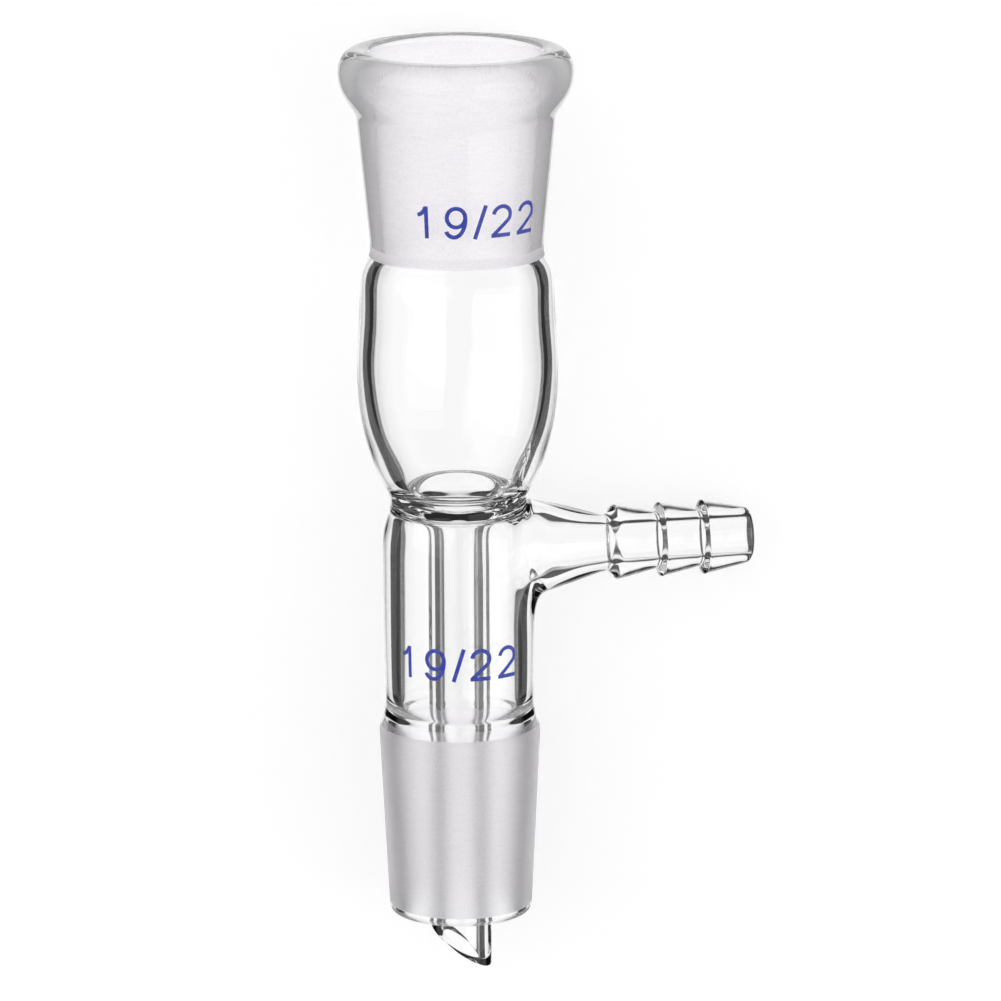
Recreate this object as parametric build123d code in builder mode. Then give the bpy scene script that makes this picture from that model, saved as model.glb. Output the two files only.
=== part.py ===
from build123d import *
import math
import os

os.makedirs("parts", exist_ok=True)

# Vacuum take-off adapter, one piece of lampworked borosilicate glass.
# Millimetres. The glass is drawn upright first, heights measured along the tube
# from the small end of the lower cone, and then laid down on the ground it rests on.

# ---- ground joints, both 19/22: 18.8 mm at the large end, 22 mm long, taper 1 in 10 ----
JOINT_LARGE_DIA = 18.8
JOINT_LENGTH = 22.0
JOINT_TAPER = 0.1
CONE_WALL = 1.9
SOCKET_WALL_BASE = 1.55
SOCKET_WALL_TOP = 2.0
BEAD_DIA = 27.1
BEAD_HEIGHT = 7.2
LIP_HEIGHT = 2.2

# ---- body tube between the cone and the ring seal ----
BODY_DIA = 17.6
BODY_WALL = 1.95
BODY_SPAN = 26.8
NECK_SHARE = 0.89

# ---- blown bulb between the ring seal and the socket ----
BULB_DIA = 23.3
BULB_SPAN = 29.2
BULB_WALL = 1.6

# ---- inner drip tube ----
DRIP_DIA = 7.15
DRIP_BORE = 4.3
DRIP_REACH = 4.45
DRIP_CUT_ANGLE = 35.0
DRIP_CUT_TURN = 22.0

# ---- side hose barb ----
ARM_HEIGHT = 43.2
ARM_REACH = 34.7
ARM_BORE = 4.1
ARM_NECK_DIA = 6.6
ARM_ROOT_DIA = 6.75
ARM_PEAK_DIA = 8.65
ARM_PEAK_PITCH = 5.15
ARM_TIP_RUN = 5.6
ARM_STEP = 0.6

EDGE_ROUND = 0.6

# ---- stations along the tube and radii, all derived ----
cone_r_large = JOINT_LARGE_DIA / 2
cone_r_small = cone_r_large - JOINT_LENGTH * JOINT_TAPER / 2
cone_top = JOINT_LENGTH
body_r = BODY_DIA / 2
body_in_r = body_r - BODY_WALL
neck_z = cone_top + BODY_SPAN
neck_r = body_r * NECK_SHARE
bulb_r = BULB_DIA / 2
socket_base = neck_z + BULB_SPAN
ground_top = socket_base + JOINT_LENGTH
rim_z = ground_top + LIP_HEIGHT
bead_r = BEAD_DIA / 2
bead_base = rim_z - BEAD_HEIGHT
socket_out_base = cone_r_small + SOCKET_WALL_BASE
socket_out_top = cone_r_large + SOCKET_WALL_TOP
drip_r = DRIP_DIA / 2
drip_bore_r = DRIP_BORE / 2
cut_slope = math.tan(math.radians(DRIP_CUT_ANGLE))
cut_reach = drip_r + 0.8
drip_low = -DRIP_REACH - 2 * drip_r * cut_slope
slant_plane = Plane(
    origin=(0, 0, 0),
    x_dir=Vector(1, 0, 0).rotate(Axis.Z, -DRIP_CUT_TURN),
    z_dir=Vector(0, -1, 0).rotate(Axis.Z, -DRIP_CUT_TURN),
)


def bulb_point(share_r, share_z, inset=0.0):
    """A point of the bulb: radius shared between neck and bulb, height along the bulb."""
    radius = neck_r + (bulb_r - neck_r) * share_r
    return (radius - inset, neck_z + BULB_SPAN * share_z)


# ---- arm stations, measured from the tube's axis ----
arm_bore_r = ARM_BORE / 2
arm_neck_r = ARM_NECK_DIA / 2
arm_root_r = ARM_ROOT_DIA / 2
arm_peak_r = ARM_PEAK_DIA / 2
peak_3 = ARM_REACH - ARM_TIP_RUN
peak_2 = peak_3 - ARM_PEAK_PITCH
peak_1 = peak_2 - ARM_PEAK_PITCH
arm_neck_x = peak_1 - 1.3
flare_x = body_r * 0.58
flare_r = body_r * 0.75
clear_r = (body_in_r + neck_r) / 2
funnel_r = drip_r + 1.1
arm_plane = Plane(origin=(0, 0, ARM_HEIGHT), x_dir=(1, 0, 0), z_dir=(0, -1, 0))

# ---- the barb and its blown foot, a tube about the X direction ----
with BuildPart() as glass_upright:
    with BuildSketch(arm_plane) as arm_section:
        with BuildLine():
            Line((0, arm_bore_r), (0, flare_r))
            Line((0, flare_r), (flare_x, flare_r))
            Spline(
                (flare_x, flare_r),
                (body_r, flare_r * 0.83),
                (arm_neck_x, arm_neck_r),
                tangents=[(1, -0.15), (1, -0.12)],
            )
            barb_edge = FilletPolyline(
                (arm_neck_x, arm_neck_r),
                (peak_1 - 0.4, arm_peak_r),
                (peak_1 + 0.4, arm_peak_r),
                (peak_2 - ARM_STEP, arm_root_r),
                (peak_2, arm_peak_r),
                (peak_3 - ARM_STEP, arm_root_r),
                (peak_3, arm_peak_r),
                (ARM_REACH, arm_neck_r),
                (ARM_REACH, arm_bore_r),
                (0, arm_bore_r),
                radius=[0.25, 0.25, 0.12, 0.12, 0.12, 0.12, 0.55, 0.4],
            )
        make_face()
    revolve(axis=Axis((0, 0, ARM_HEIGHT), (1, 0, 0)))
    with Locations((0, 0, ARM_HEIGHT - 2 * flare_r)):
        Cylinder(
            clear_r,
            4 * flare_r,
            align=(Align.CENTER, Align.CENTER, Align.MIN),
            mode=Mode.SUBTRACT,
        )

    # ---- glass wall of the whole adapter, turned about the tube's axis ----
    with BuildSketch(Plane.YZ) as wall_section:
        with BuildLine():
            # outside, from the end of the cone up to the bead
            Line((cone_r_small, 0), (cone_r_large, cone_top))
            Spline(
                (cone_r_large, cone_top),
                (body_r * 0.975, cone_top + 3.0),
                (body_r, cone_top + 9.0),
                tangents=[(-0.3, 1), (0, 1)],
            )
            Line((body_r, cone_top + 9.0), (body_r, neck_z - 4.6))
            Spline(
                (body_r, neck_z - 4.6),
                (neck_r, neck_z),
                bulb_point(0.50, 0.165),
                bulb_point(0.83, 0.335),
                bulb_point(1.0, 0.53),
                bulb_point(0.90, 0.73),
                bulb_point(0.86, 0.88),
                tangents=[(0, 1), (0, 1)],
            )
            Spline(
                bulb_point(0.86, 0.88),
                (socket_out_base + 0.75, socket_base - 1.0),
                (socket_out_base, socket_base + 0.8),
                tangents=[(0, 1), (0.05, 1)],
            )
            Line((socket_out_base, socket_base + 0.8), (socket_out_top, bead_base))
            bead_edge = Spline(
                (socket_out_top, bead_base),
                (bead_r * 0.91, bead_base + BEAD_HEIGHT * 0.24),
                (bead_r, bead_base + BEAD_HEIGHT * 0.58),
                (bead_r * 0.965, bead_base + BEAD_HEIGHT * 0.86),
                (bead_r * 0.83, rim_z),
                tangents=[(0.1, 1), (-1, 0)],
            )
            # over the lip and down the ground socket
            Spline(
                (bead_r * 0.83, rim_z),
                ((bead_r * 0.83 + cone_r_large) / 2 - 0.35, rim_z - 0.45),
                (cone_r_large, ground_top),
                tangents=[(-1, 0), (-0.05, -1)],
            )
            Line((cone_r_large, ground_top), (cone_r_small, socket_base))
            # inside of the bulb, down the funnel into the drip tube
            Spline(
                (cone_r_small, socket_base),
                bulb_point(0.80, 0.93, BULB_WALL),
                bulb_point(0.87, 0.83, BULB_WALL),
                tangents=[(0.3, -1), (0, -1)],
            )
            Spline(
                bulb_point(0.87, 0.83, BULB_WALL),
                bulb_point(1.0, 0.53, BULB_WALL),
                bulb_point(0.82, 0.33, BULB_WALL),
                bulb_point(0.42, 0.15, BULB_WALL),
                (funnel_r, neck_z + 1.2),
                (drip_bore_r, neck_z - 3.4),
                tangents=[(0, -1), (0, -1)],
            )
            Line((drip_bore_r, neck_z - 3.4), (drip_bore_r, drip_low))
            Line((drip_bore_r, drip_low), (drip_r, drip_low))
            # outside of the drip tube, over the top of the vacuum space, down the body
            Line((drip_r, drip_low), (drip_r, neck_z - 4.0))
            Spline(
                (drip_r, neck_z - 4.0),
                ((drip_r + body_in_r) / 2, neck_z - 1.0),
                (body_in_r, neck_z - 4.2),
                tangents=[(0, 1), (0, -1)],
            )
            Line((body_in_r, neck_z - 4.2), (body_in_r, cone_top + 6.0))
            Spline(
                (body_in_r, cone_top + 6.0),
                (cone_r_large - CONE_WALL, cone_top - 1.5),
                tangents=[(0, -1), (-0.05, -1)],
            )
            Line((cone_r_large - CONE_WALL, cone_top - 1.5), (cone_r_small - CONE_WALL, 0))
            Line((cone_r_small - CONE_WALL, 0), (cone_r_small, 0))
        make_face()
        cone_end = [corner for corner in wall_section.vertices() if abs(corner.Y) < 1e-6]
        fillet(cone_end, EDGE_ROUND)
    revolve(axis=Axis.Z)

    # ---- way from the barb's bore through the body wall into the vacuum space ----
    with BuildSketch(arm_plane) as bore_section:
        with BuildLine():
            Line(((drip_r + body_in_r) / 2, 0), ((drip_r + body_in_r) / 2, arm_bore_r * 1.6))
            Line(((drip_r + body_in_r) / 2, arm_bore_r * 1.6), (body_in_r, arm_bore_r * 1.6))
            Spline(
                (body_in_r, arm_bore_r * 1.6),
                (body_r + 3.2, arm_bore_r * 0.97),
                tangents=[(1, -0.55), (1, -0.12)],
            )
            Line((body_r + 3.2, arm_bore_r * 0.97), (body_r + 3.2, 0))
            Line((body_r + 3.2, 0), ((drip_r + body_in_r) / 2, 0))
        make_face()
    revolve(axis=Axis((0, 0, ARM_HEIGHT), (1, 0, 0)), mode=Mode.SUBTRACT)

    # ---- the drip tube's end, cut off at a slant with its point on the barb's side ----
    with BuildSketch(slant_plane):
        with BuildLine():
            Polyline(
                (-cut_reach, -DRIP_REACH + cut_reach * cut_slope),
                (cut_reach, -DRIP_REACH - cut_reach * cut_slope),
                (cut_reach, drip_low - cut_reach),
                (-cut_reach, drip_low - cut_reach),
                close=True,
            )
        make_face()
    extrude(amount=cut_reach, both=True, mode=Mode.SUBTRACT)

# ---- how it lies: the lean and the roll at which its centre of mass sits lowest ----
wall_points = [
    edge.position_at(step / 80)
    for edge in wall_section.edges()
    for step in range(81)
]
mass_center = glass_upright.part.center(CenterOf.MASS)


def axis_rise(degrees):
    """Height of the tube's axis above the ground, at the end of the cone, for one lean."""
    lean = math.radians(degrees)
    return max(p.X * math.cos(lean) - p.Y * math.sin(lean) for p in wall_points)


def mass_rise(degrees):
    """Height of the centre of mass's station on the axis, for one lean."""
    return axis_rise(degrees) + mass_center.Z * math.sin(math.radians(degrees))


coarse_lean = min([step * 0.1 for step in range(-150, 151)], key=mass_rise)
lean_degrees = min([coarse_lean + step * 0.004 for step in range(-30, 31)], key=mass_rise)
tilt = math.radians(lean_degrees)
rest_height = axis_rise(lean_degrees)
arm_rest_height = rest_height + ARM_HEIGHT * math.sin(tilt)
arm_points = [
    barb.position_at(step / 20)
    for barb in arm_section.edges()
    for step in range(21)
]
droop = min(
    math.asin(arm_rest_height / math.hypot(p.X, p.Y)) - math.atan2(p.Y, p.X)
    for p in arm_points
    if p.X > peak_1 - 1
)
roll = math.asin(math.sin(droop) / math.cos(tilt))
up_axis = Vector(0, math.cos(tilt), math.sin(tilt))
over_axis = Vector(0, -math.sin(tilt), math.cos(tilt))
arm_axis = Vector(1, 0, 0) * math.cos(roll) - over_axis * math.sin(roll)
lying = Plane(origin=(0, 0, rest_height), x_dir=arm_axis, z_dir=up_axis)

with BuildPart() as glass_lying:
    with Locations(lying.location):
        add(glass_upright.part)
lying_box = glass_lying.part.bounding_box()

# ---- the same glass, moved so that the middle of its footprint is the origin ----
with BuildPart() as glass_adapter:
    with Locations((-lying_box.center().X, -lying_box.center().Y, -lying_box.min.Z)):
        add(glass_lying.part)

glass_adapter.part.label = "glass_adapter"
export_step(glass_adapter.part, "parts/glass_adapter.step")
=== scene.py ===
"""Vacuum take-off adapter in clear lampworked glass, lying on a pale studio floor.

Lengths are written in millimetres along the upright adapter, with the tube on Z and
the hose barb on +X, and turned into the frame's metres when the glass is laid down.
"""

from __future__ import annotations

import logging
import math
from collections.abc import Callable
from dataclasses import dataclass, field
from enum import Enum

import bmesh
import bpy
from mathutils import Matrix, Vector


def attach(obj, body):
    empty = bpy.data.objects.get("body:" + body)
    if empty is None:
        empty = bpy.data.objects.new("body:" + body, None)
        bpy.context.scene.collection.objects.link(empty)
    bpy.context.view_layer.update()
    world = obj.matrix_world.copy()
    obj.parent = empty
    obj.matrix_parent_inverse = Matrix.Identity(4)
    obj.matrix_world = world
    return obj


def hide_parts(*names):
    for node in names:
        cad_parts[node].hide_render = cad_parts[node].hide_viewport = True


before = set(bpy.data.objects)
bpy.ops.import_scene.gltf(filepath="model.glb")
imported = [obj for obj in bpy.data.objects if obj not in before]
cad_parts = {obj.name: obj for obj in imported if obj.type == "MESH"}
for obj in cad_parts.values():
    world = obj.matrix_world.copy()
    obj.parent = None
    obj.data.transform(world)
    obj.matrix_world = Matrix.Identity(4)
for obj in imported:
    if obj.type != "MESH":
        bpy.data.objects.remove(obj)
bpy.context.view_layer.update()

log = logging.getLogger("adapter")

MM = 0.001
NODE = "glass_adapter"
BODY = "root"


class Zone(Enum):
    """The finishes that one piece of glass carries, in material slot order."""

    CLEAR = 0
    CONE = 1
    SOCKET = 2


@dataclass(frozen=True)
class Station:
    """One ring of the turned glass.

    Args:
        radius: the ring's radius in millimetres.
        height: how far the ring stands along the axis, in millimetres.
    """

    radius: float
    height: float


@dataclass(frozen=True)
class RestingPlace:
    """How the upright adapter is laid down on the ground, in degrees and millimetres."""

    lean_deg: float = 3.032
    roll_deg: float = 12.27
    axis_height: float = 8.289
    axis_x: float = -10.479
    cone_end_y: float = -47.837

    def up(self) -> Vector:
        """Direction of the tube's axis, from the cone to the mouth."""
        lean = math.radians(self.lean_deg)
        return Vector((0.0, math.cos(lean), math.sin(lean)))

    def over(self) -> Vector:
        """Direction square to the axis that points away from the ground."""
        lean = math.radians(self.lean_deg)
        return Vector((0.0, -math.sin(lean), math.cos(lean)))

    def origin(self) -> Vector:
        """The middle of the cone's small end, in metres."""
        return Vector((self.axis_x, self.cone_end_y, self.axis_height)) * MM

    def matrix(self) -> Matrix:
        """Matrix from upright millimetres to the lying glass in metres.

        Returns:
            A 4x4 matrix whose X column is the barb and whose Z column is the tube.
        """
        roll = math.radians(self.roll_deg)
        barb = Vector((1.0, 0.0, 0.0)) * math.cos(roll) - self.over() * math.sin(roll)
        side = self.up().cross(barb)
        turn = Matrix((barb, side, self.up())).transposed().to_4x4()
        return Matrix.Translation(self.origin()) @ turn @ Matrix.Scale(MM, 4)


# ---------------------------------------------------------------------------
# Finishes
# ---------------------------------------------------------------------------


def let_lamps_through(
    tree: bpy.types.NodeTree, glass: bpy.types.ShaderNode, lamp_pass: float
) -> None:
    """Finish a glass material: a lamp's rays go straight through to the floor.

    Args:
        tree: the material's nodes.
        glass: the shader that every other ray meets.
        lamp_pass: how much of a lamp's light goes through.
    """
    add, link = tree.nodes.new, tree.links.new
    out = add("ShaderNodeOutputMaterial")
    lamp = add("ShaderNodeBsdfTransparent")
    lamp.inputs["Color"].default_value = (lamp_pass, lamp_pass, lamp_pass, 1.0)
    path = add("ShaderNodeLightPath")
    mix = add("ShaderNodeMixShader")
    link(path.outputs["Is Shadow Ray"], mix.inputs["Fac"])
    link(glass.outputs["BSDF"], mix.inputs[1])
    link(lamp.outputs["BSDF"], mix.inputs[2])
    link(mix.outputs["Shader"], out.inputs["Surface"])


@dataclass(frozen=True)
class ClearGlass:
    """Fire-polished borosilicate: colourless, smooth, faintly uneven."""

    color: tuple[float, float, float] = (0.995, 0.994, 0.995)
    ior: float = 1.473
    ripple_scale: float = 190.0
    ripple_strength: float = 0.04
    ripple_depth: float = 0.004
    lamp_pass: float = 0.93

    def build(self) -> bpy.types.Material:
        """Make the material.

        Returns:
            A glass that bends light and lets lamps through to the floor.
        """
        material = bpy.data.materials.new("clear_borosilicate")
        material.use_nodes = True
        tree = material.node_tree
        tree.nodes.clear()
        add, link = tree.nodes.new, tree.links.new
        glass = add("ShaderNodeBsdfPrincipled")
        glass.inputs["Base Color"].default_value = (*self.color, 1.0)
        glass.inputs["Roughness"].default_value = 0.0
        glass.inputs["IOR"].default_value = self.ior
        glass.inputs["Transmission Weight"].default_value = 1.0
        place = add("ShaderNodeTexCoord")
        waves = add("ShaderNodeTexNoise")
        waves.inputs["Scale"].default_value = self.ripple_scale
        waves.inputs["Detail"].default_value = 1.0
        ripple = add("ShaderNodeBump")
        ripple.inputs["Strength"].default_value = self.ripple_strength
        ripple.inputs["Distance"].default_value = self.ripple_depth * MM
        link(place.outputs["Object"], waves.inputs["Vector"])
        link(waves.outputs["Fac"], ripple.inputs["Height"])
        link(ripple.outputs["Normal"], glass.inputs["Normal"])
        let_lamps_through(tree, glass, self.lamp_pass)
        return material


@dataclass(frozen=True)
class GroundGlass:
    """Finely ground joint face: pale, blurring, with turned grinding marks."""

    name: str
    see_through: float
    least_rough: float
    most_rough: float
    ior: float = 1.473
    grain_scale: float = 3900.0
    streak_scale: float = 2600.0
    streak_stretch: tuple[float, float, float] = (0.25, 1.0, 0.25)
    grain_share: float = 0.7
    tone_from: float = 0.34
    tone_to: float = 0.62
    bump_strength: float = 0.5
    bump_depth: float = 0.02
    lamp_pass: float = 0.8
    dark: tuple[float, float, float] = (0.85, 0.822, 0.862)
    pale: tuple[float, float, float] = (0.978, 0.957, 0.985)

    def build(self) -> bpy.types.Material:
        """Make the material.

        Returns:
            A frosted glass whose roughness and grain come from noise.
        """
        material = bpy.data.materials.new(self.name)
        material.use_nodes = True
        tree = material.node_tree
        tree.nodes.clear()
        add, link = tree.nodes.new, tree.links.new
        glass = add("ShaderNodeBsdfPrincipled")
        glass.inputs["IOR"].default_value = self.ior
        glass.inputs["Transmission Weight"].default_value = self.see_through
        place = add("ShaderNodeTexCoord")
        rings = add("ShaderNodeMapping")
        rings.inputs["Scale"].default_value = self.streak_stretch
        marks = add("ShaderNodeTexNoise")
        marks.inputs["Scale"].default_value = self.streak_scale
        marks.inputs["Detail"].default_value = 4.0
        grain = add("ShaderNodeTexNoise")
        grain.inputs["Scale"].default_value = self.grain_scale
        grain.inputs["Detail"].default_value = 3.0
        worn = add("ShaderNodeMix")
        worn.data_type = "FLOAT"
        worn.inputs["Factor"].default_value = self.grain_share
        tone = add("ShaderNodeValToRGB")
        tone.color_ramp.elements[0].position = self.tone_from
        tone.color_ramp.elements[0].color = (*self.dark, 1.0)
        tone.color_ramp.elements[1].position = self.tone_to
        tone.color_ramp.elements[1].color = (*self.pale, 1.0)
        rough = add("ShaderNodeMapRange")
        rough.inputs["From Min"].default_value = 0.3
        rough.inputs["From Max"].default_value = 0.7
        rough.inputs["To Min"].default_value = self.least_rough
        rough.inputs["To Max"].default_value = self.most_rough
        bump = add("ShaderNodeBump")
        bump.inputs["Strength"].default_value = self.bump_strength
        bump.inputs["Distance"].default_value = self.bump_depth * MM
        link(place.outputs["Object"], rings.inputs["Vector"])
        link(rings.outputs["Vector"], marks.inputs["Vector"])
        link(place.outputs["Object"], grain.inputs["Vector"])
        link(marks.outputs["Fac"], worn.inputs["A"])
        link(grain.outputs["Fac"], worn.inputs["B"])
        link(worn.outputs["Result"], tone.inputs["Fac"])
        link(tone.outputs["Color"], glass.inputs["Base Color"])
        link(worn.outputs["Result"], rough.inputs["Value"])
        link(rough.outputs["Result"], glass.inputs["Roughness"])
        link(worn.outputs["Result"], bump.inputs["Height"])
        link(bump.outputs["Normal"], glass.inputs["Normal"])
        let_lamps_through(tree, glass, self.lamp_pass)
        return material


@dataclass(frozen=True)
class BlueEnamel:
    """Fired-on blue marking ink, a little uneven in depth."""

    deep: tuple[float, float, float] = (0.024, 0.042, 0.36)
    pale: tuple[float, float, float] = (0.06, 0.09, 0.47)
    roughness: float = 0.4
    mottle_scale: float = 1800.0

    def build(self) -> bpy.types.Material:
        """Make the material.

        Returns:
            An opaque satin blue with fine mottling.
        """
        material = bpy.data.materials.new("fired_blue_enamel")
        material.use_nodes = True
        tree = material.node_tree
        add, link = tree.nodes.new, tree.links.new
        ink = tree.nodes["Principled BSDF"]
        ink.inputs["Roughness"].default_value = self.roughness
        place = add("ShaderNodeTexCoord")
        mottle = add("ShaderNodeTexNoise")
        mottle.inputs["Scale"].default_value = self.mottle_scale
        mottle.inputs["Detail"].default_value = 3.0
        ramp = add("ShaderNodeValToRGB")
        ramp.color_ramp.elements[0].position = 0.4
        ramp.color_ramp.elements[0].color = (*self.deep, 1.0)
        ramp.color_ramp.elements[1].position = 0.75
        ramp.color_ramp.elements[1].color = (*self.pale, 1.0)
        link(place.outputs["Object"], mottle.inputs["Vector"])
        link(mottle.outputs["Fac"], ramp.inputs["Fac"])
        link(ramp.outputs["Color"], ink.inputs["Base Color"])
        return material


# ---------------------------------------------------------------------------
# Modelling helpers
# ---------------------------------------------------------------------------


def deselect_all() -> None:
    """Leave edit mode and let go of every object."""
    if bpy.context.mode != "OBJECT":
        bpy.ops.object.mode_set(mode="OBJECT")
    bpy.ops.object.select_all(action="DESELECT")


def hold(obj: bpy.types.Object) -> None:
    """Select one object alone, in object mode, and make it the active one."""
    deselect_all()
    obj.select_set(True)
    bpy.context.view_layer.objects.active = obj


def middle_of(edge: bmesh.types.BMEdge) -> Vector:
    """Give the point halfway along an edge."""
    return (edge.verts[0].co + edge.verts[1].co) / 2


def pick_edges(obj: bpy.types.Object, wanted: Callable[[bmesh.types.BMEdge], bool]) -> int:
    """Select, in edit mode, the edges that pass a test.

    Args:
        obj: the mesh object being edited.
        wanted: a function of an edge that says whether it is selected.

    Returns:
        How many edges were selected.
    """
    bpy.ops.mesh.select_mode(type="EDGE")
    bpy.ops.mesh.select_all(action="DESELECT")
    shape = bmesh.from_edit_mesh(obj.data)
    count = 0
    for edge in shape.edges:
        if wanted(edge):
            edge.select_set(True)
            count += 1
    shape.select_flush_mode()
    bmesh.update_edit_mesh(obj.data)
    return count


def pick_faces(obj: bpy.types.Object, wanted: Callable[[Vector], bool]) -> int:
    """Select, in edit mode, the faces whose middle passes a test.

    Args:
        obj: the mesh object being edited.
        wanted: a function of a face's middle that says whether it is selected.

    Returns:
        How many faces were selected.
    """
    bpy.ops.mesh.select_mode(type="FACE")
    bpy.ops.mesh.select_all(action="DESELECT")
    shape = bmesh.from_edit_mesh(obj.data)
    count = 0
    for face in shape.faces:
        if wanted(face.calc_center_median()):
            face.select_set(True)
            count += 1
    shape.select_flush_mode()
    bmesh.update_edit_mesh(obj.data)
    return count


def turn_rings(name: str, stations: list[Station], sides: int, swell: float) -> bpy.types.Object:
    """Turn a wall ring by ring about Z, by extruding and scaling an open circle.

    Args:
        name: the new object's name.
        stations: the rings in the order in which the wall runs through them.
        sides: how many sides each ring has.
        swell: how much wider each ring is made, for what subdivision takes away.

    Returns:
        The object, in edit mode, open between its last ring and its first.
    """
    deselect_all()
    first = stations[0]
    bpy.ops.mesh.primitive_circle_add(
        vertices=sides, radius=first.radius * swell, location=(0, 0, 0), fill_type="NOTHING"
    )
    obj = bpy.context.object
    obj.name = name
    bpy.ops.object.mode_set(mode="EDIT")
    bpy.ops.mesh.select_mode(type="VERT")
    bpy.ops.mesh.select_all(action="SELECT")
    bpy.ops.transform.translate(value=(0, 0, first.height))
    last = first
    for station in stations[1:]:
        bpy.ops.mesh.extrude_region_move(
            TRANSFORM_OT_translate={"value": (0, 0, station.height - last.height)}
        )
        share = station.radius / last.radius
        bpy.ops.transform.resize(
            value=(share, share, 1.0), center_override=(0, 0, station.height)
        )
        last = station
    return obj


# ---------------------------------------------------------------------------
# The glass
# ---------------------------------------------------------------------------


@dataclass
class GlassAdapter:
    """The whole adapter: socket, bulb, ring seal, drip tube, body, cone and barb.

    Sizes are radii, heights and lengths in millimetres. Heights start at the cone's end.
    """

    joint_large: float = 9.4
    joint_small: float = 8.3
    joint_length: float = 22.0
    body: float = 8.8
    body_bore: float = 6.85
    neck: float = 7.83
    neck_height: float = 48.8
    socket_base: float = 78.0
    rim: float = 102.2
    bead: float = 13.55
    drip: float = 3.575
    drip_bore: float = 2.15
    drip_middle: float = -4.45
    drip_cut_deg: float = 35.0
    drip_turn_deg: float = 22.0
    barb_height: float = 43.2
    barb_reach: float = 34.7
    barb_bore: float = 2.05
    barb_neck: float = 3.3
    barb_root: float = 3.375
    barb_peak: float = 4.325
    sides: int = 32
    barb_sides: int = 24
    port_rows: int = 6
    port_row: float = 1.6
    port_row_inside: float = 1.15
    port_outer: float = 5.8
    port_inner: float = 4.2
    port_half_deg: float = 33.75
    port_split: float = 4.5
    corners: tuple[tuple[float, float, float], ...] = ((5.0, 6.0, 10.6), (3.5, 4.5, 9.2))
    relax_half_deg: float = 66.0
    relax_below: float = 9.0
    relax_above: float = 4.6
    relax_rounds: int = 12
    drip_bevel: float = 0.3
    smooth_levels: int = 2
    merge_within: float = 0.001
    rest: RestingPlace = field(default_factory=RestingPlace)

    def swell(self, sides: int) -> float:
        """How much wider a ring is drawn so that subdivision brings it to size.

        Args:
            sides: how many sides the ring has.

        Returns:
            The factor for the ring's radius.
        """
        return 3.0 / (2.0 + math.cos(2.0 * math.pi / sides))

    def outside(self) -> list[Station]:
        """Rings of the outer surface, from the end of the cone up to the lip."""
        large, small, body = self.joint_large, self.joint_small, self.body
        taper = (large - small) / self.joint_length
        rows = [Station(body, self.barb_height + self.port_row * step) for step in range(-3, 2)]
        return [
            Station(small - 1.35, 0.0),
            Station(small - 0.4, 0.0),
            Station(small - 0.04, 0.28),
            Station(small + 0.04, 0.8),
            Station(small + taper * 3.0, 3.0),
            Station(small + taper * 8.0, 8.0),
            Station(small + taper * 13.0, 13.0),
            Station(small + taper * 18.0, 18.0),
            Station(small + taper * 21.2, 21.2),
            Station(large, 22.0),
            Station(large - 0.13, 22.6),
            Station(body + 0.05, 23.6),
            Station(body - 0.18, 25.0),
            Station(body - 0.2, 26.8),
            Station(body - 0.12, 30.0),
            Station(body - 0.03, 34.0),
            *rows,
            Station(body - 0.22, self.barb_height + self.port_row * 2),
            Station(self.neck + 0.12, self.barb_height + self.port_row * 3),
            Station(self.neck, self.neck_height + 0.62),
            Station(8.2, 50.6),
            Station(8.9, 51.9),
            Station(9.85, 53.9),
            Station(10.6, 56.3),
            Station(11.15, 58.8),
            Station(11.48, 61.3),
            Station(11.64, 64.3),
            Station(11.55, 67.3),
            Station(11.35, 70.0),
            Station(11.22, 73.0),
            Station(11.16, 75.3),
            Station(10.98, 76.6),
            Station(10.5, 77.5),
            Station(10.02, 78.2),
            Station(9.92, 79.2),
            Station(10.2, 82.0),
            Station(10.6, 86.0),
            Station(11.0, 90.0),
            Station(11.28, 92.8),
            Station(11.38, 94.1),
            Station(11.46, 94.7),
            Station(11.85, 95.3),
            Station(12.5, 96.2),
            Station(13.15, 97.3),
            Station(self.bead - 0.08, 98.5),
            Station(self.bead, 99.5),
            Station(self.bead - 0.14, 100.5),
            Station(self.bead - 0.55, 101.4),
            Station(12.3, self.rim - 0.2),
            Station(11.5, self.rim),
            Station(10.9, self.rim - 0.04),
        ]

    def inside(self) -> list[Station]:
        """Rings of the inner surface, from the lip down to the end of the drip bore."""
        large, small, base = self.joint_large, self.joint_small, self.socket_base
        return [
            Station(10.35, self.rim - 0.25),
            Station(9.9, self.rim - 0.75),
            Station(9.5, self.rim - 1.7),
            Station(large, base + 22.0),
            Station(large - 0.25, base + 17.0),
            Station(large - 0.55, base + 11.0),
            Station(large - 0.85, base + 5.0),
            Station(small + 0.03, base + 0.6),
            Station(small, base),
            Station(small + 0.2, base - 0.6),
            Station(9.1, base - 1.5),
            Station(9.5, base - 2.6),
            Station(9.62, base - 4.5),
            Station(9.7, 70.0),
            Station(9.95, 67.0),
            Station(10.05, 64.3),
            Station(9.78, 61.0),
            Station(9.25, 58.2),
            Station(8.5, 55.9),
            Station(7.6, 53.9),
            Station(6.75, 52.3),
            Station(6.1, 51.2),
            Station(5.75, 50.8),
            Station(5.4, 50.82),
            Station(5.0, 50.88),
            Station(4.72, 50.65),
            Station(4.55, 50.1),
            Station(4.2, 49.5),
            Station(3.5, 48.7),
            Station(2.75, 47.7),
            Station(2.3, 46.7),
            Station(self.drip_bore, 45.4),
            Station(self.drip_bore, 35.0),
            Station(self.drip_bore, 25.0),
            Station(self.drip_bore, 15.0),
            Station(self.drip_bore, 6.0),
            Station(self.drip_bore, 0.5),
            Station(self.drip_bore, -10.0),
        ]

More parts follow.
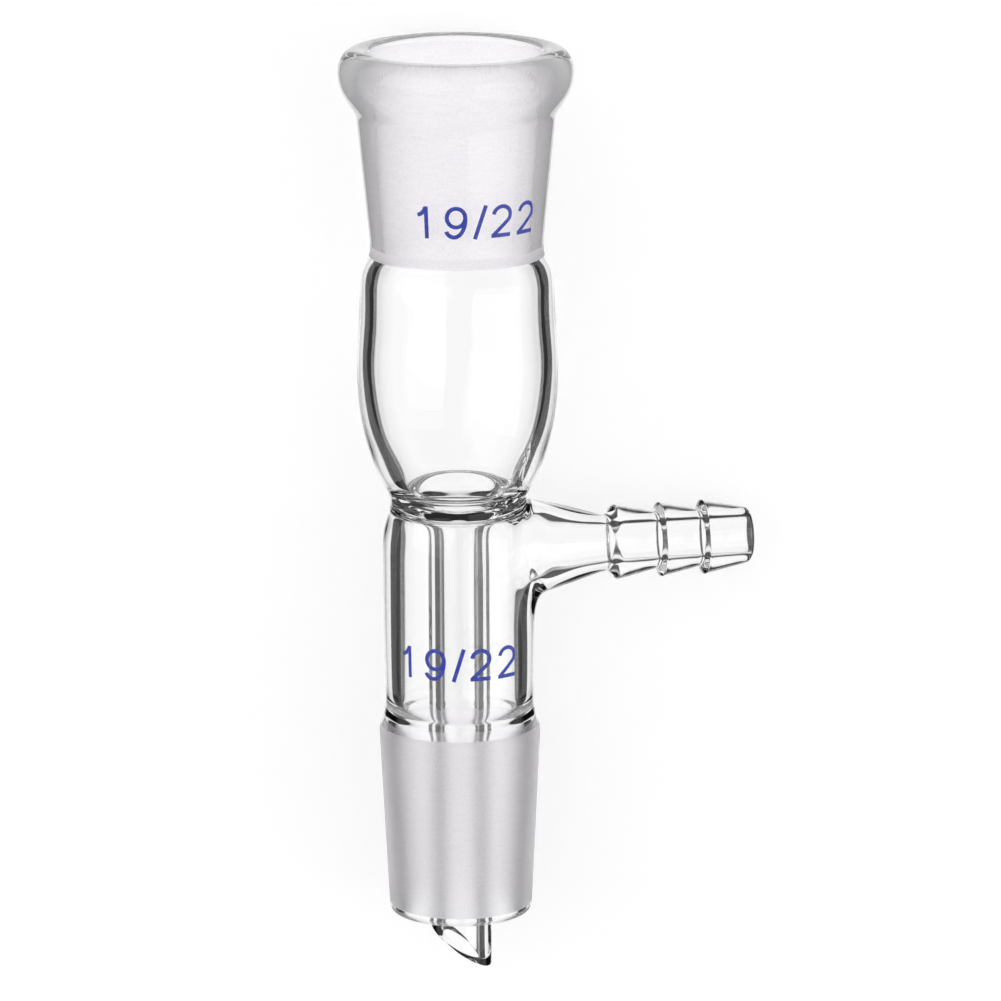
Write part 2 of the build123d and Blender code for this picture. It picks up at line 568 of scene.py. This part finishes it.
    def vacuum_space(self) -> list[Station]:
        """Rings round the space between drip tube and body, ending at the cone's end."""
        bore, port = self.body_bore, self.barb_height
        step = self.port_row_inside
        return [
            Station(self.drip, -10.0),
            Station(self.drip, 0.5),
            Station(self.drip, 6.0),
            Station(self.drip, 15.0),
            Station(self.drip, 25.0),
            Station(self.drip, 35.0),
            Station(self.drip, 43.0),
            Station(self.drip, 45.4),
            Station(self.drip + 0.1, 46.8),
            Station(4.1, 47.65),
            Station(5.15, 48.1),
            Station(6.15, 47.85),
            Station(bore - 0.22, port + step * 3),
            Station(bore - 0.04, port + step * 2),
            Station(bore, port + step),
            Station(bore, port),
            Station(bore, port - step),
            Station(bore, port - step * 2),
            Station(bore, port - step * 3),
            Station(bore, 38.0),
            Station(bore, 33.5),
            Station(bore, 29.0),
            Station(bore, 26.4),
            Station(bore - 0.04, 24.9),
            Station(bore - 0.36, 24.25),
            Station(bore - 0.38, 23.95),
            Station(bore + 0.02, 23.55),
            Station(bore + 0.5, 23.1),
            Station(self.joint_large - 1.88, 22.1),
            Station(self.joint_large - 1.9, 20.5),
            Station(self.joint_large - 2.2, 15.0),
            Station(self.joint_large - 2.6, 7.0),
            Station(self.joint_small - 1.86, 1.0),
            Station(self.joint_small - 1.8, 0.3),
        ]

    def barb_rings(self) -> list[Station]:
        """Rings of the barb, their heights being distances out from the tube's axis."""
        neck, root, peak, tip = self.barb_neck, self.barb_root, self.barb_peak, self.barb_reach
        rings = [
            Station(5.15, 10.7),
            Station(4.75, 12.3),
            Station(4.28, 13.8),
            Station(3.84, 15.2),
            Station(neck + 0.14, 16.6),
            Station(neck, 17.42),
            Station(neck + 0.06, 17.64),
            Station(neck + 0.3, 17.82),
            Station(peak - 0.17, 18.25),
            Station(peak + 0.06, 18.58),
            Station(peak - 0.02, 19.15),
            Station(3.95, 20.8),
            Station(3.55, 22.5),
        ]
        for crest in (tip - 10.75, tip - 5.6):
            rings += [
                Station(root + 0.02, crest - 0.72),
                Station(root, crest - 0.47),
                Station(root + 0.12, crest - 0.38),
                Station(peak - 0.12, crest - 0.09),
                Station(peak + 0.05, crest),
                Station(peak + 0.02, crest + 0.13),
                Station(peak - 0.07, crest + 0.4),
                Station(peak - 0.36, crest + 1.9),
                Station(peak - 0.72, crest + 3.6),
            ]
        rings[-1:] = [
            Station(neck + 0.15, tip - 1.1),
            Station(neck + 0.02, tip - 0.45),
            Station(neck - 0.2, tip - 0.1),
            Station(neck - 0.55, tip),
            Station(self.barb_bore + 0.3, tip),
            Station(self.barb_bore + 0.03, tip - 0.3),
            Station(self.barb_bore, tip - 0.9),
            Station(self.barb_bore, 28.0),
            Station(self.barb_bore, 22.0),
            Station(self.barb_bore + 0.02, 17.5),
            Station(self.barb_bore + 0.15, 15.0),
            Station(self.barb_bore + 0.48, 12.8),
            Station(self.barb_bore + 0.95, 11.0),
            Station(self.barb_bore + 1.6, 9.3),
        ]
        return rings

    def turn_wall(self) -> bpy.types.Object:
        """Turn the wall from the cone's end over the lip and back to the cone's end."""
        stations = self.outside() + self.inside() + self.vacuum_space()
        grow = self.swell(self.sides)
        obj = turn_rings("adapter_glass", stations, self.sides, grow)

        def open_end(edge: bmesh.types.BMEdge) -> bool:
            """True for an open edge at the cone's end, outside the drip tube."""
            middle = middle_of(edge)
            reach = math.hypot(middle.x, middle.y) / grow
            return edge.is_boundary and reach > self.drip + 0.5 and middle.z < 0.5

        log.debug("cone's open end: %d edges", pick_edges(obj, open_end))
        bpy.ops.mesh.bridge_edge_loops()
        return obj

    def drip_cut(self) -> Vector:
        """Square to the drip tube's slanted end, one millimetre along the axis."""
        turn = math.radians(-self.drip_turn_deg)
        slope = math.tan(math.radians(self.drip_cut_deg))
        return Vector((slope * math.cos(turn), slope * math.sin(turn), 1.0))

    def cut_drip_end(self, obj: bpy.types.Object) -> None:
        """Cut the drip tube off at a slant and close its end with a rounded ring.

        Args:
            obj: the turned wall, in edit mode.
        """
        pick_faces(obj, lambda c: c.z < 0.4 and math.hypot(c.x, c.y) < self.drip * 1.2)
        bpy.ops.mesh.bisect(
            plane_co=(0.0, 0.0, self.drip_middle),
            plane_no=self.drip_cut(),
            clear_inner=True,
            use_fill=False,
        )
        pick_edges(obj, lambda edge: edge.is_boundary)
        bpy.ops.mesh.bridge_edge_loops()
        pick_edges(obj, self.is_drip_edge)
        bpy.ops.mesh.bevel(offset=self.drip_bevel, segments=3, affect="EDGES")

    def is_drip_edge(self, edge: bmesh.types.BMEdge) -> bool:
        """Tell the two round edges of the drip tube's slanted end from the rest.

        Args:
            edge: an edge of the glass.

        Returns:
            True if it lies in the slanted cut and runs round it.
        """
        middle = Vector((0.0, 0.0, self.drip_middle))
        if any(abs((vert.co - middle).dot(self.drip_cut())) > 0.01 for vert in edge.verts):
            return False
        start, stop = (math.hypot(vert.co.x, vert.co.y) for vert in edge.verts)
        return abs(start - stop) < 0.3

    def on_outer_wall(self, reach: float) -> bool:
        """True for a distance from the axis that is in the body's outer surface."""
        return reach > (self.body + self.body_bore) / 2 - 0.35

    def open_ports(self, obj: bpy.types.Object) -> None:
        """Open the outer and the inner wall where the barb joins, each port rounded.

        Args:
            obj: the turned wall, in edit mode.
        """
        half = math.radians(self.port_half_deg)

        def in_port(middle: Vector) -> bool:
            """True for the middle of a wall face that the barb's port takes up."""
            reach = math.hypot(middle.x, middle.y)
            if middle.x <= 0 or abs(math.atan2(middle.y, middle.x)) > half:
                return False
            outside = self.on_outer_wall(reach)
            row = self.port_row if outside else self.port_row_inside
            if not outside and reach < self.drip + 1.5:
                return False
            return abs(middle.z - self.barb_height) < row * self.port_rows / 2

        log.debug("port faces: %d", pick_faces(obj, in_port))
        bpy.ops.mesh.delete(type="FACE")
        shape = bmesh.from_edit_mesh(obj.data)
        for vert in {v for e in shape.edges if e.is_boundary for v in e.verts}:
            side, rise = vert.co.y, vert.co.z - self.barb_height
            reach = math.hypot(vert.co.x, vert.co.y)
            round_to = self.port_outer if self.on_outer_wall(reach) else self.port_inner
            now = math.hypot(side, rise)
            side, rise = side / now * round_to, rise / now * round_to
            vert.co.y, vert.co.z = side, self.barb_height + rise
            vert.co.x = math.sqrt(max(reach * reach - side * side, 1.0))
        self.relax_wall(shape)
        bmesh.update_edit_mesh(obj.data)

    def relax_wall(self, shape: bmesh.types.BMesh) -> None:
        """Even out the wall's faces round the ports without leaving the wall.

        Args:
            shape: the mesh being edited, its ports open and rounded.
        """
        near = []
        for vert in shape.verts:
            reach = math.hypot(vert.co.x, vert.co.y)
            angle = abs(math.degrees(math.atan2(vert.co.y, vert.co.x)))
            if vert.is_boundary or reach < self.drip + 2.6 or angle > self.relax_half_deg:
                continue
            if -self.relax_below < vert.co.z - self.barb_height < self.relax_above:
                near.append(vert)
        for _ in range(self.relax_rounds):
            places = {}
            for vert in near:
                ends = [edge.other_vert(vert).co for edge in vert.link_edges]
                angle = sum(math.atan2(end.y, end.x) for end in ends) / len(ends)
                rise = sum(end.z for end in ends) / len(ends)
                places[vert] = (angle, rise)
            for vert, (angle, rise) in places.items():
                reach = math.hypot(vert.co.x, vert.co.y)
                vert.co = Vector((reach * math.cos(angle), reach * math.sin(angle), rise))

    def raise_barb(self, obj: bpy.types.Object) -> None:
        """Raise the barb ring by ring and join its two ends to the ports.

        Args:
            obj: the wall with its ports open, in edit mode.
        """
        grow = self.swell(self.barb_sides)
        tube = turn_rings("barb_glass", self.barb_rings(), self.barb_sides, grow)
        hold(tube)
        sideways = Matrix.Rotation(math.radians(90.0), 4, "Y")
        tube.matrix_world = Matrix.Translation((0, 0, self.barb_height)) @ sideways
        bpy.ops.object.transform_apply(location=True, rotation=True, scale=True)
        obj.select_set(True)
        bpy.context.view_layer.objects.active = obj
        bpy.ops.object.join()
        bpy.ops.object.mode_set(mode="EDIT")

        def is_wide(edge: bmesh.types.BMEdge) -> bool:
            """True for an edge too far from the barb's axis to belong to its bore."""
            middle = middle_of(edge)
            return math.hypot(middle.y, middle.z - self.barb_height) > self.port_split

        def outer_gap(edge: bmesh.types.BMEdge) -> bool:
            """True for an open edge between the barb and the outer wall."""
            return edge.is_boundary and is_wide(edge)

        def inner_gap(edge: bmesh.types.BMEdge) -> bool:
            """True for an open edge between the barb's bore and the inner wall."""
            return edge.is_boundary and not is_wide(edge)

        for gap in (outer_gap, inner_gap):
            log.debug("gap edges: %d", pick_edges(obj, gap))
            bpy.ops.mesh.bridge_edge_loops(number_cuts=1, interpolation="LINEAR")
        for reach, near, far in self.corners:
            self.soften_joint(obj, reach, near, far)

    def soften_joint(self, obj: bpy.types.Object, reach: float, near: float, far: float) -> None:
        """Blend the barb into the wall with a rounded corner, as a flame leaves it.

        Args:
            obj: the joined glass, in edit mode.
            reach: the middle of the joint's distance from the barb's axis.
            near: where along the barb the corner starts.
            far: where along the barb it ends.
        """
        bpy.ops.mesh.select_mode(type="VERT")
        bpy.ops.mesh.select_all(action="DESELECT")
        shape = bmesh.from_edit_mesh(obj.data)
        for vert in shape.verts:
            out = math.hypot(vert.co.y, vert.co.z - self.barb_height)
            if near - 1.0 < vert.co.x < far and reach - 0.1 < out < reach + 0.95:
                vert.select_set(True)
        shape.select_flush_mode()
        bmesh.update_edit_mesh(obj.data)
        bpy.ops.mesh.vertices_smooth(factor=0.5, repeat=2)

    def ground_faces(self, obj: bpy.types.Object) -> None:
        """Give the cone's outside and the socket's inside their ground finishes.

        Args:
            obj: the closed glass, upright, in edit mode.
        """

        def on_cone(middle: Vector) -> bool:
            """True for the middle of a face on the cone's outside."""
            reach = math.hypot(middle.x, middle.y)
            below = middle.z < self.joint_length + 0.3
            return 0.7 < middle.z and below and reach > self.joint_small - 0.6

        def in_socket(middle: Vector) -> bool:
            """True for the middle of a face in the socket."""
            reach = math.hypot(middle.x, middle.y)
            inside = reach < self.joint_large + 0.6
            return self.socket_base < middle.z < self.rim - 1.0 and inside

        for zone, wanted in ((Zone.CONE, on_cone), (Zone.SOCKET, in_socket)):
            pick_faces(obj, wanted)
            obj.active_material_index = zone.value
            bpy.ops.object.material_slot_assign()

    def build(self) -> bpy.types.Object:
        """Model the glass upright, smooth it and lay it down on the ground.

        Returns:
            The finished piece, its place in its mesh.
        """
        obj = self.turn_wall()
        self.cut_drip_end(obj)
        self.open_ports(obj)
        self.raise_barb(obj)
        obj.data.materials.append(ClearGlass().build())
        obj.data.materials.append(GroundGlass("ground_cone", 0.93, 0.39, 0.53).build())
        obj.data.materials.append(GroundGlass("ground_socket", 0.78, 0.42, 0.58).build())
        self.ground_faces(obj)
        bpy.ops.mesh.select_all(action="SELECT")
        bpy.ops.mesh.remove_doubles(threshold=self.merge_within)
        bpy.ops.mesh.normals_make_consistent(inside=False)
        hold(obj)
        smooth = obj.modifiers.new("fire_polish", "SUBSURF")
        smooth.levels = self.smooth_levels
        smooth.render_levels = self.smooth_levels
        bpy.ops.object.modifier_apply(modifier=smooth.name)
        bpy.ops.object.shade_smooth()
        obj.matrix_world = self.rest.matrix()
        bpy.ops.object.transform_apply(location=True, rotation=True, scale=True)
        deselect_all()
        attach(obj, BODY)
        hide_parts(NODE)
        return obj


class Glyph(Enum):
    """The plain characters of a joint size, with their middles along the line in mm."""

    ONE = ("1", -3.82)
    NINE = ("9", 0.0)
    SLASH = ("/", 2.74)
    FIRST_TWO = ("2", 5.34)
    LAST_TWO = ("2", 8.77)


@dataclass(frozen=True)
class Pen:
    """Strokes of the plain sans-serif numerals, drawn one unit tall."""

    arc_steps: int = 18
    line_steps: int = 6
    slope_steps: int = 8

    def line(self, start: tuple[float, float], stop: tuple[float, float]) -> list[Vector]:
        """Points of a straight stroke, both of its ends among them."""
        first, last = Vector((*start, 0.0)), Vector((*stop, 0.0))
        return [first.lerp(last, step / self.line_steps) for step in range(self.line_steps + 1)]

    def arc(
        self, middle: tuple[float, float], half: tuple[float, float], turn: tuple[float, float]
    ) -> list[Vector]:
        """Points of an elliptical stroke.

        Args:
            middle: the ellipse's middle.
            half: its half width and half height.
            turn: the angles at which it starts and stops, in degrees.

        Returns:
            The points in order.
        """
        points = []
        for step in range(self.arc_steps + 1):
            angle = math.radians(turn[0] + (turn[1] - turn[0]) * step / self.arc_steps)
            across = middle[0] + half[0] * math.cos(angle)
            points.append(Vector((across, middle[1] + half[1] * math.sin(angle), 0.0)))
        return points

    def strokes(self, character: str) -> list[list[Vector]]:
        """Strokes of one character about its own middle.

        Args:
            character: one of 1, 9, 2 and the slash.

        Returns:
            A list of strokes, each a list of points.
        """
        if character == "1":
            flag = self.arc((-0.2, 1.02), (0.3, 0.3), (-10, -80))
            return [self.line((0.12, 0.0), (0.12, 1.0)), flag]
        if character == "9":
            loop = self.arc((0.0, 0.655), (0.275, 0.295), (0, 360))
            tail = self.arc((-0.06, 0.6), (0.335, 0.55), (8, -118))
            return [loop, tail, self.arc((-0.06, 0.27), (0.235, 0.22), (-90, -170))]
        if character == "2":
            bow = self.arc((0.0, 0.68), (0.28, 0.27), (172, -38))
            foot = Vector((-0.29, 0.05, 0.0))
            steps = range(1, self.slope_steps + 1)
            slope = [bow[-1].lerp(foot, step / self.slope_steps) for step in steps]
            return [bow + slope, self.line((-0.33, 0.05), (0.31, 0.05))]
        return [self.line((-0.16, -0.02), (0.16, 1.02))]


@dataclass
class SizeMark:
    """Plain blue size numerals fired round the outside of the glass.

    Args:
        name: the piece's name.
        radius: the glass's radius at the foot of the numerals.
        flare: how much that radius grows for each millimetre up.
        low: the height of the numerals' foot.
        turn_deg: how far round from the front they are centred.
        tall: the numerals' height.
        stroke: the width of a stroke.
        film: how thick the fired film is.
    """

    name: str
    radius: float
    flare: float
    low: float
    turn_deg: float
    tall: float = 3.75
    stroke: float = 0.47
    film: float = 0.06
    merge_within: float = 0.0005
    sharp_deg: float = 40.0
    rest: RestingPlace = field(default_factory=RestingPlace)

    def draw(self) -> bpy.types.Object:
        """Draw every stroke flat as a round curve and make it one mesh.

        Returns:
            The numerals, lying flat on X and Y in millimetres.
        """
        line = bpy.data.curves.new(self.name, "CURVE")
        line.dimensions = "3D"
        line.twist_mode = "Z_UP"
        line.bevel_depth = self.stroke / 2
        line.bevel_resolution = 2
        line.use_fill_caps = True
        pen = Pen()
        for glyph in Glyph:
            character, middle = glyph.value
            for stroke in pen.strokes(character):
                spline = line.splines.new("POLY")
                spline.points.add(len(stroke) - 1)
                for point, spot in zip(spline.points, stroke):
                    point.co = (spot.x * self.tall + middle, spot.y * self.tall, 0.0, 1.0)
        obj = bpy.data.objects.new(self.name, line)
        bpy.context.scene.collection.objects.link(obj)
        hold(obj)
        bpy.ops.object.convert(target="MESH")
        return obj

    def build(self) -> bpy.types.Object:
        """Draw the numerals, wrap them round the glass and lay them down with it.

        Returns:
            The numerals as one thin piece.
        """
        obj = self.draw()
        flat = self.film / self.stroke
        for vert in obj.data.vertices:
            across, rise, proud = vert.co
            reach = self.radius + self.flare * rise + proud * flat
            angle = math.radians(self.turn_deg - 90.0) + across / self.radius
            vert.co = Vector((reach * math.cos(angle), reach * math.sin(angle), self.low + rise))
        bpy.ops.object.mode_set(mode="EDIT")
        bpy.ops.mesh.select_all(action="SELECT")
        bpy.ops.mesh.remove_doubles(threshold=self.merge_within)
        bpy.ops.mesh.normals_make_consistent(inside=False)
        hold(obj)
        bpy.ops.object.shade_smooth_by_angle(angle=math.radians(self.sharp_deg))
        obj.data.materials.clear()
        obj.data.materials.append(BlueEnamel().build())
        roll = Matrix.Rotation(math.radians(self.rest.roll_deg), 4, "Z")
        obj.matrix_world = self.rest.matrix() @ roll.inverted()
        bpy.ops.object.transform_apply(location=True, rotation=True, scale=True)
        deselect_all()
        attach(obj, BODY)
        return obj


# ---------------------------------------------------------------------------
# The studio
# ---------------------------------------------------------------------------


@dataclass(frozen=True)
class SoftLamp:
    """A tall soft box that faces the glass.

    Args:
        name: the lamp's name.
        spot: where it hangs, in metres.
        power: its power in watts.
        wide: its width in metres.
    """

    name: str
    spot: tuple[float, float, float]
    power: float
    wide: float
    tall_by: float = 1.6

    def hang(self) -> None:
        """Hang the lamp and turn it to the glass."""
        data = bpy.data.lights.new(self.name, "AREA")
        data.shape = "RECTANGLE"
        data.size = self.wide
        data.size_y = self.wide * self.tall_by
        data.energy = self.power
        lamp = bpy.data.objects.new(self.name, data)
        bpy.context.scene.collection.objects.link(lamp)
        lamp.location = self.spot
        lamp.rotation_euler = Vector(self.spot).to_track_quat("Z", "Y").to_euler()


@dataclass
class Studio:
    """Pale floor, soft lamps, a lit ground behind the glass, and the camera.

    The camera's place is in millimetres from the cone's small end: along the glass, over
    it and to its side. The light table's sizes are parts of the unit sphere of directions.
    The floor's glow is least near the glass, where the lamps light it, and grows outward.
    """

    rest: RestingPlace = field(default_factory=RestingPlace)
    camera_along: float = 223.8
    camera_over: float = 732.0
    camera_side: float = 4.87
    pitch_deg: float = 13.42
    spin_deg: float = -0.28
    lens: float = 233.7
    sensor: float = 36.0
    nearest: float = 0.01
    farthest: float = 20.0
    table_across: float = 0.38
    table_along: float = 0.75
    table_shift: float = 0.07
    table_edge: float = 1.14
    floor_size: float = 8.0
    floor_grey: float = 0.9
    glow_near: float = 0.235
    glow_far: float = 0.6
    glow_from: float = 0.12
    glow_to: float = 0.7
    wall_stops: tuple[tuple[float, float], ...] = (
        (0.0, 0.03),
        (0.3, 0.03),
        (0.37, 0.7),
        (0.44, 0.95),
        (0.52, 0.9),
        (0.64, 0.6),
        (1.0, 0.6),
    )
    lamps: tuple[SoftLamp, ...] = (
        SoftLamp("lamp_left", (-0.45, 0.15, 0.5), 1.3, 0.55),
        SoftLamp("lamp_right", (0.5, -0.1, 0.45), 1.05, 0.5),
    )

    def floor(self) -> bpy.types.Object:
        """Lay the pale floor, which glass sees through to the lit ground.

        Returns:
            The floor plane.
        """
        deselect_all()
        bpy.ops.mesh.primitive_plane_add(size=self.floor_size, location=(0, 0, 0))
        obj = bpy.context.object
        obj.name = "studio_floor"
        obj.data.materials.append(self.floor_finish())
        return obj

    def floor_finish(self) -> bpy.types.Material:
        """Make the floor's material: matte with a glow, and clear to all but the camera.

        Returns:
            A pale material that takes the object's shadow and keeps out of its glass.
        """
        material = bpy.data.materials.new("pale_floor")
        material.use_nodes = True
        tree = material.node_tree
        tree.nodes.clear()
        add, link = tree.nodes.new, tree.links.new
        out = add("ShaderNodeOutputMaterial")
        matte = add("ShaderNodeBsdfDiffuse")
        grey = self.floor_grey
        matte.inputs["Color"].default_value = (grey, grey, grey, 1.0)
        glow = add("ShaderNodeEmission")
        place = add("ShaderNodeTexCoord")
        reach = add("ShaderNodeVectorMath")
        reach.operation = "LENGTH"
        outward = add("ShaderNodeMapRange")
        outward.inputs["From Min"].default_value = self.glow_from
        outward.inputs["From Max"].default_value = self.glow_to
        outward.inputs["To Min"].default_value = self.glow_near
        outward.inputs["To Max"].default_value = self.glow_far
        both = add("ShaderNodeAddShader")
        clear = add("ShaderNodeBsdfTransparent")
        path = add("ShaderNodeLightPath")
        most = add("ShaderNodeMath")
        most.operation = "MAXIMUM"
        also = add("ShaderNodeMath")
        also.operation = "MAXIMUM"
        mix = add("ShaderNodeMixShader")
        link(place.outputs["Object"], reach.inputs[0])
        link(reach.outputs["Value"], outward.inputs["Value"])
        link(outward.outputs["Result"], glow.inputs["Strength"])
        link(matte.outputs["BSDF"], both.inputs[0])
        link(glow.outputs["Emission"], both.inputs[1])
        link(path.outputs["Is Glossy Ray"], most.inputs[0])
        link(path.outputs["Is Transmission Ray"], most.inputs[1])
        link(most.outputs["Value"], also.inputs[0])
        link(path.outputs["Is Shadow Ray"], also.inputs[1])
        link(also.outputs["Value"], mix.inputs["Fac"])
        link(both.outputs["Shader"], mix.inputs[1])
        link(clear.outputs["BSDF"], mix.inputs[2])
        link(mix.outputs["Shader"], out.inputs["Surface"])
        return material

    def light_table(
        self,
        tree: bpy.types.NodeTree,
        toward: bpy.types.NodeSocket,
        height: bpy.types.NodeSocket,
    ) -> bpy.types.NodeSocket:
        """Add a long white table below the glass, wide along it and narrow across.

        Args:
            tree: the world's nodes.
            toward: the direction looked in.
            height: that direction's Z.

        Returns:
            The socket that carries the table's brightness in that direction.
        """
        add, link = tree.nodes.new, tree.links.new
        spread = add("ShaderNodeMapping")
        spread.vector_type = "POINT"
        across, along = self.table_across, self.table_along
        spread.inputs["Location"].default_value = (0.0, self.table_shift / along, 0.0)
        spread.inputs["Scale"].default_value = (1.0 / across, 1.0 / along, 0.0)
        reach = add("ShaderNodeVectorMath")
        reach.operation = "LENGTH"
        edge = add("ShaderNodeMapRange")
        edge.interpolation_type = "SMOOTHSTEP"
        edge.inputs["From Min"].default_value = 1.0
        edge.inputs["From Max"].default_value = self.table_edge
        edge.inputs["To Min"].default_value = 1.0
        edge.inputs["To Max"].default_value = 0.0
        below = add("ShaderNodeMath")
        below.operation = "LESS_THAN"
        below.inputs[1].default_value = 0.0
        level = add("ShaderNodeMath")
        level.operation = "MULTIPLY"
        link(toward, spread.inputs["Vector"])
        link(spread.outputs["Vector"], reach.inputs[0])
        link(reach.outputs["Value"], edge.inputs["Value"])
        link(height, below.inputs[0])
        link(edge.outputs["Result"], level.inputs[0])
        link(below.outputs["Value"], level.inputs[1])
        return level.outputs["Value"]

    def surroundings(self) -> None:
        """Light the world: white where the camera looks, graded by direction for glass."""
        world = bpy.data.worlds.new("studio_world")
        bpy.context.scene.world = world
        world.use_nodes = True
        tree = world.node_tree
        tree.nodes.clear()
        add, link = tree.nodes.new, tree.links.new
        out = add("ShaderNodeOutputWorld")
        place = add("ShaderNodeTexCoord")
        split = add("ShaderNodeSeparateXYZ")
        link(place.outputs["Generated"], split.inputs["Vector"])
        table = self.light_table(tree, place.outputs["Generated"], split.outputs["Z"])
        height = add("ShaderNodeMapRange")
        height.inputs["From Min"].default_value = -1.0
        height.inputs["From Max"].default_value = 1.0
        walls = add("ShaderNodeValToRGB")
        band = walls.color_ramp
        while len(band.elements) < len(self.wall_stops):
            band.elements.new(0.5)
        for element, (position, level) in zip(band.elements, self.wall_stops):
            element.position = position
            element.color = (level, level, level, 1.0)
        both = add("ShaderNodeMath")
        both.operation = "MAXIMUM"
        graded = add("ShaderNodeBackground")
        plain = add("ShaderNodeBackground")
        plain.inputs["Color"].default_value = (1.0, 1.0, 1.0, 1.0)
        plain.inputs["Strength"].default_value = 1.0
        path = add("ShaderNodeLightPath")
        mix = add("ShaderNodeMixShader")
        link(split.outputs["Z"], height.inputs["Value"])
        link(height.outputs["Result"], walls.inputs["Fac"])
        link(walls.outputs["Color"], both.inputs[0])
        link(table, both.inputs[1])
        link(both.outputs["Value"], graded.inputs["Color"])
        link(path.outputs["Is Camera Ray"], mix.inputs["Fac"])
        link(graded.outputs["Background"], mix.inputs[1])
        link(plain.outputs["Background"], mix.inputs[2])
        link(mix.outputs["Shader"], out.inputs["Surface"])

    def camera(self) -> None:
        """Stand the camera over the glass, looking a little into the mouth."""
        data = bpy.data.cameras.new("studio_camera")
        data.lens = self.lens
        data.sensor_width = self.sensor
        data.clip_start = self.nearest
        data.clip_end = self.farthest
        camera = bpy.data.objects.new("studio_camera", data)
        bpy.context.scene.collection.objects.link(camera)
        pitch = math.radians(self.pitch_deg)
        up, over = self.rest.up(), self.rest.over()
        back = over * math.cos(pitch) + up * math.sin(pitch)
        rise = up * math.cos(pitch) - over * math.sin(pitch)
        right = rise.cross(back)
        turn = Matrix((right, rise, back)).transposed()
        turn = turn @ Matrix.Rotation(math.radians(self.spin_deg), 3, "Z")
        side = Vector((self.camera_side, 0, 0))
        away = up * self.camera_along + over * self.camera_over + side
        place = self.rest.origin() + away * MM
        camera.matrix_world = Matrix.Translation(place) @ turn.to_4x4()
        bpy.context.scene.camera = camera

    def build(self) -> None:
        """Set up the whole studio."""
        self.floor()
        self.surroundings()
        for lamp in self.lamps:
            lamp.hang()
        self.camera()
        bpy.context.scene.view_settings.view_transform = "Standard"
        log.info("studio ready")


def main() -> None:
    """Build the glass, its size marks and the studio, and note their sizes."""
    logging.basicConfig(level=logging.INFO, format="%(name)s: %(message)s")
    glass = GlassAdapter().build()
    log.info("%s: %d faces", glass.name, len(glass.data.polygons))
    marks = (
        SizeMark("socket_size_mark", 10.23, 0.1, 82.0, 0.0),
        SizeMark("cone_size_mark", 8.7, 0.02, 29.8, -18.3),
    )
    for mark in marks:
        piece = mark.build()
        log.info("%s: %d faces", piece.name, len(piece.data.polygons))
    Studio().build()


if __name__ == "__main__":
    main()
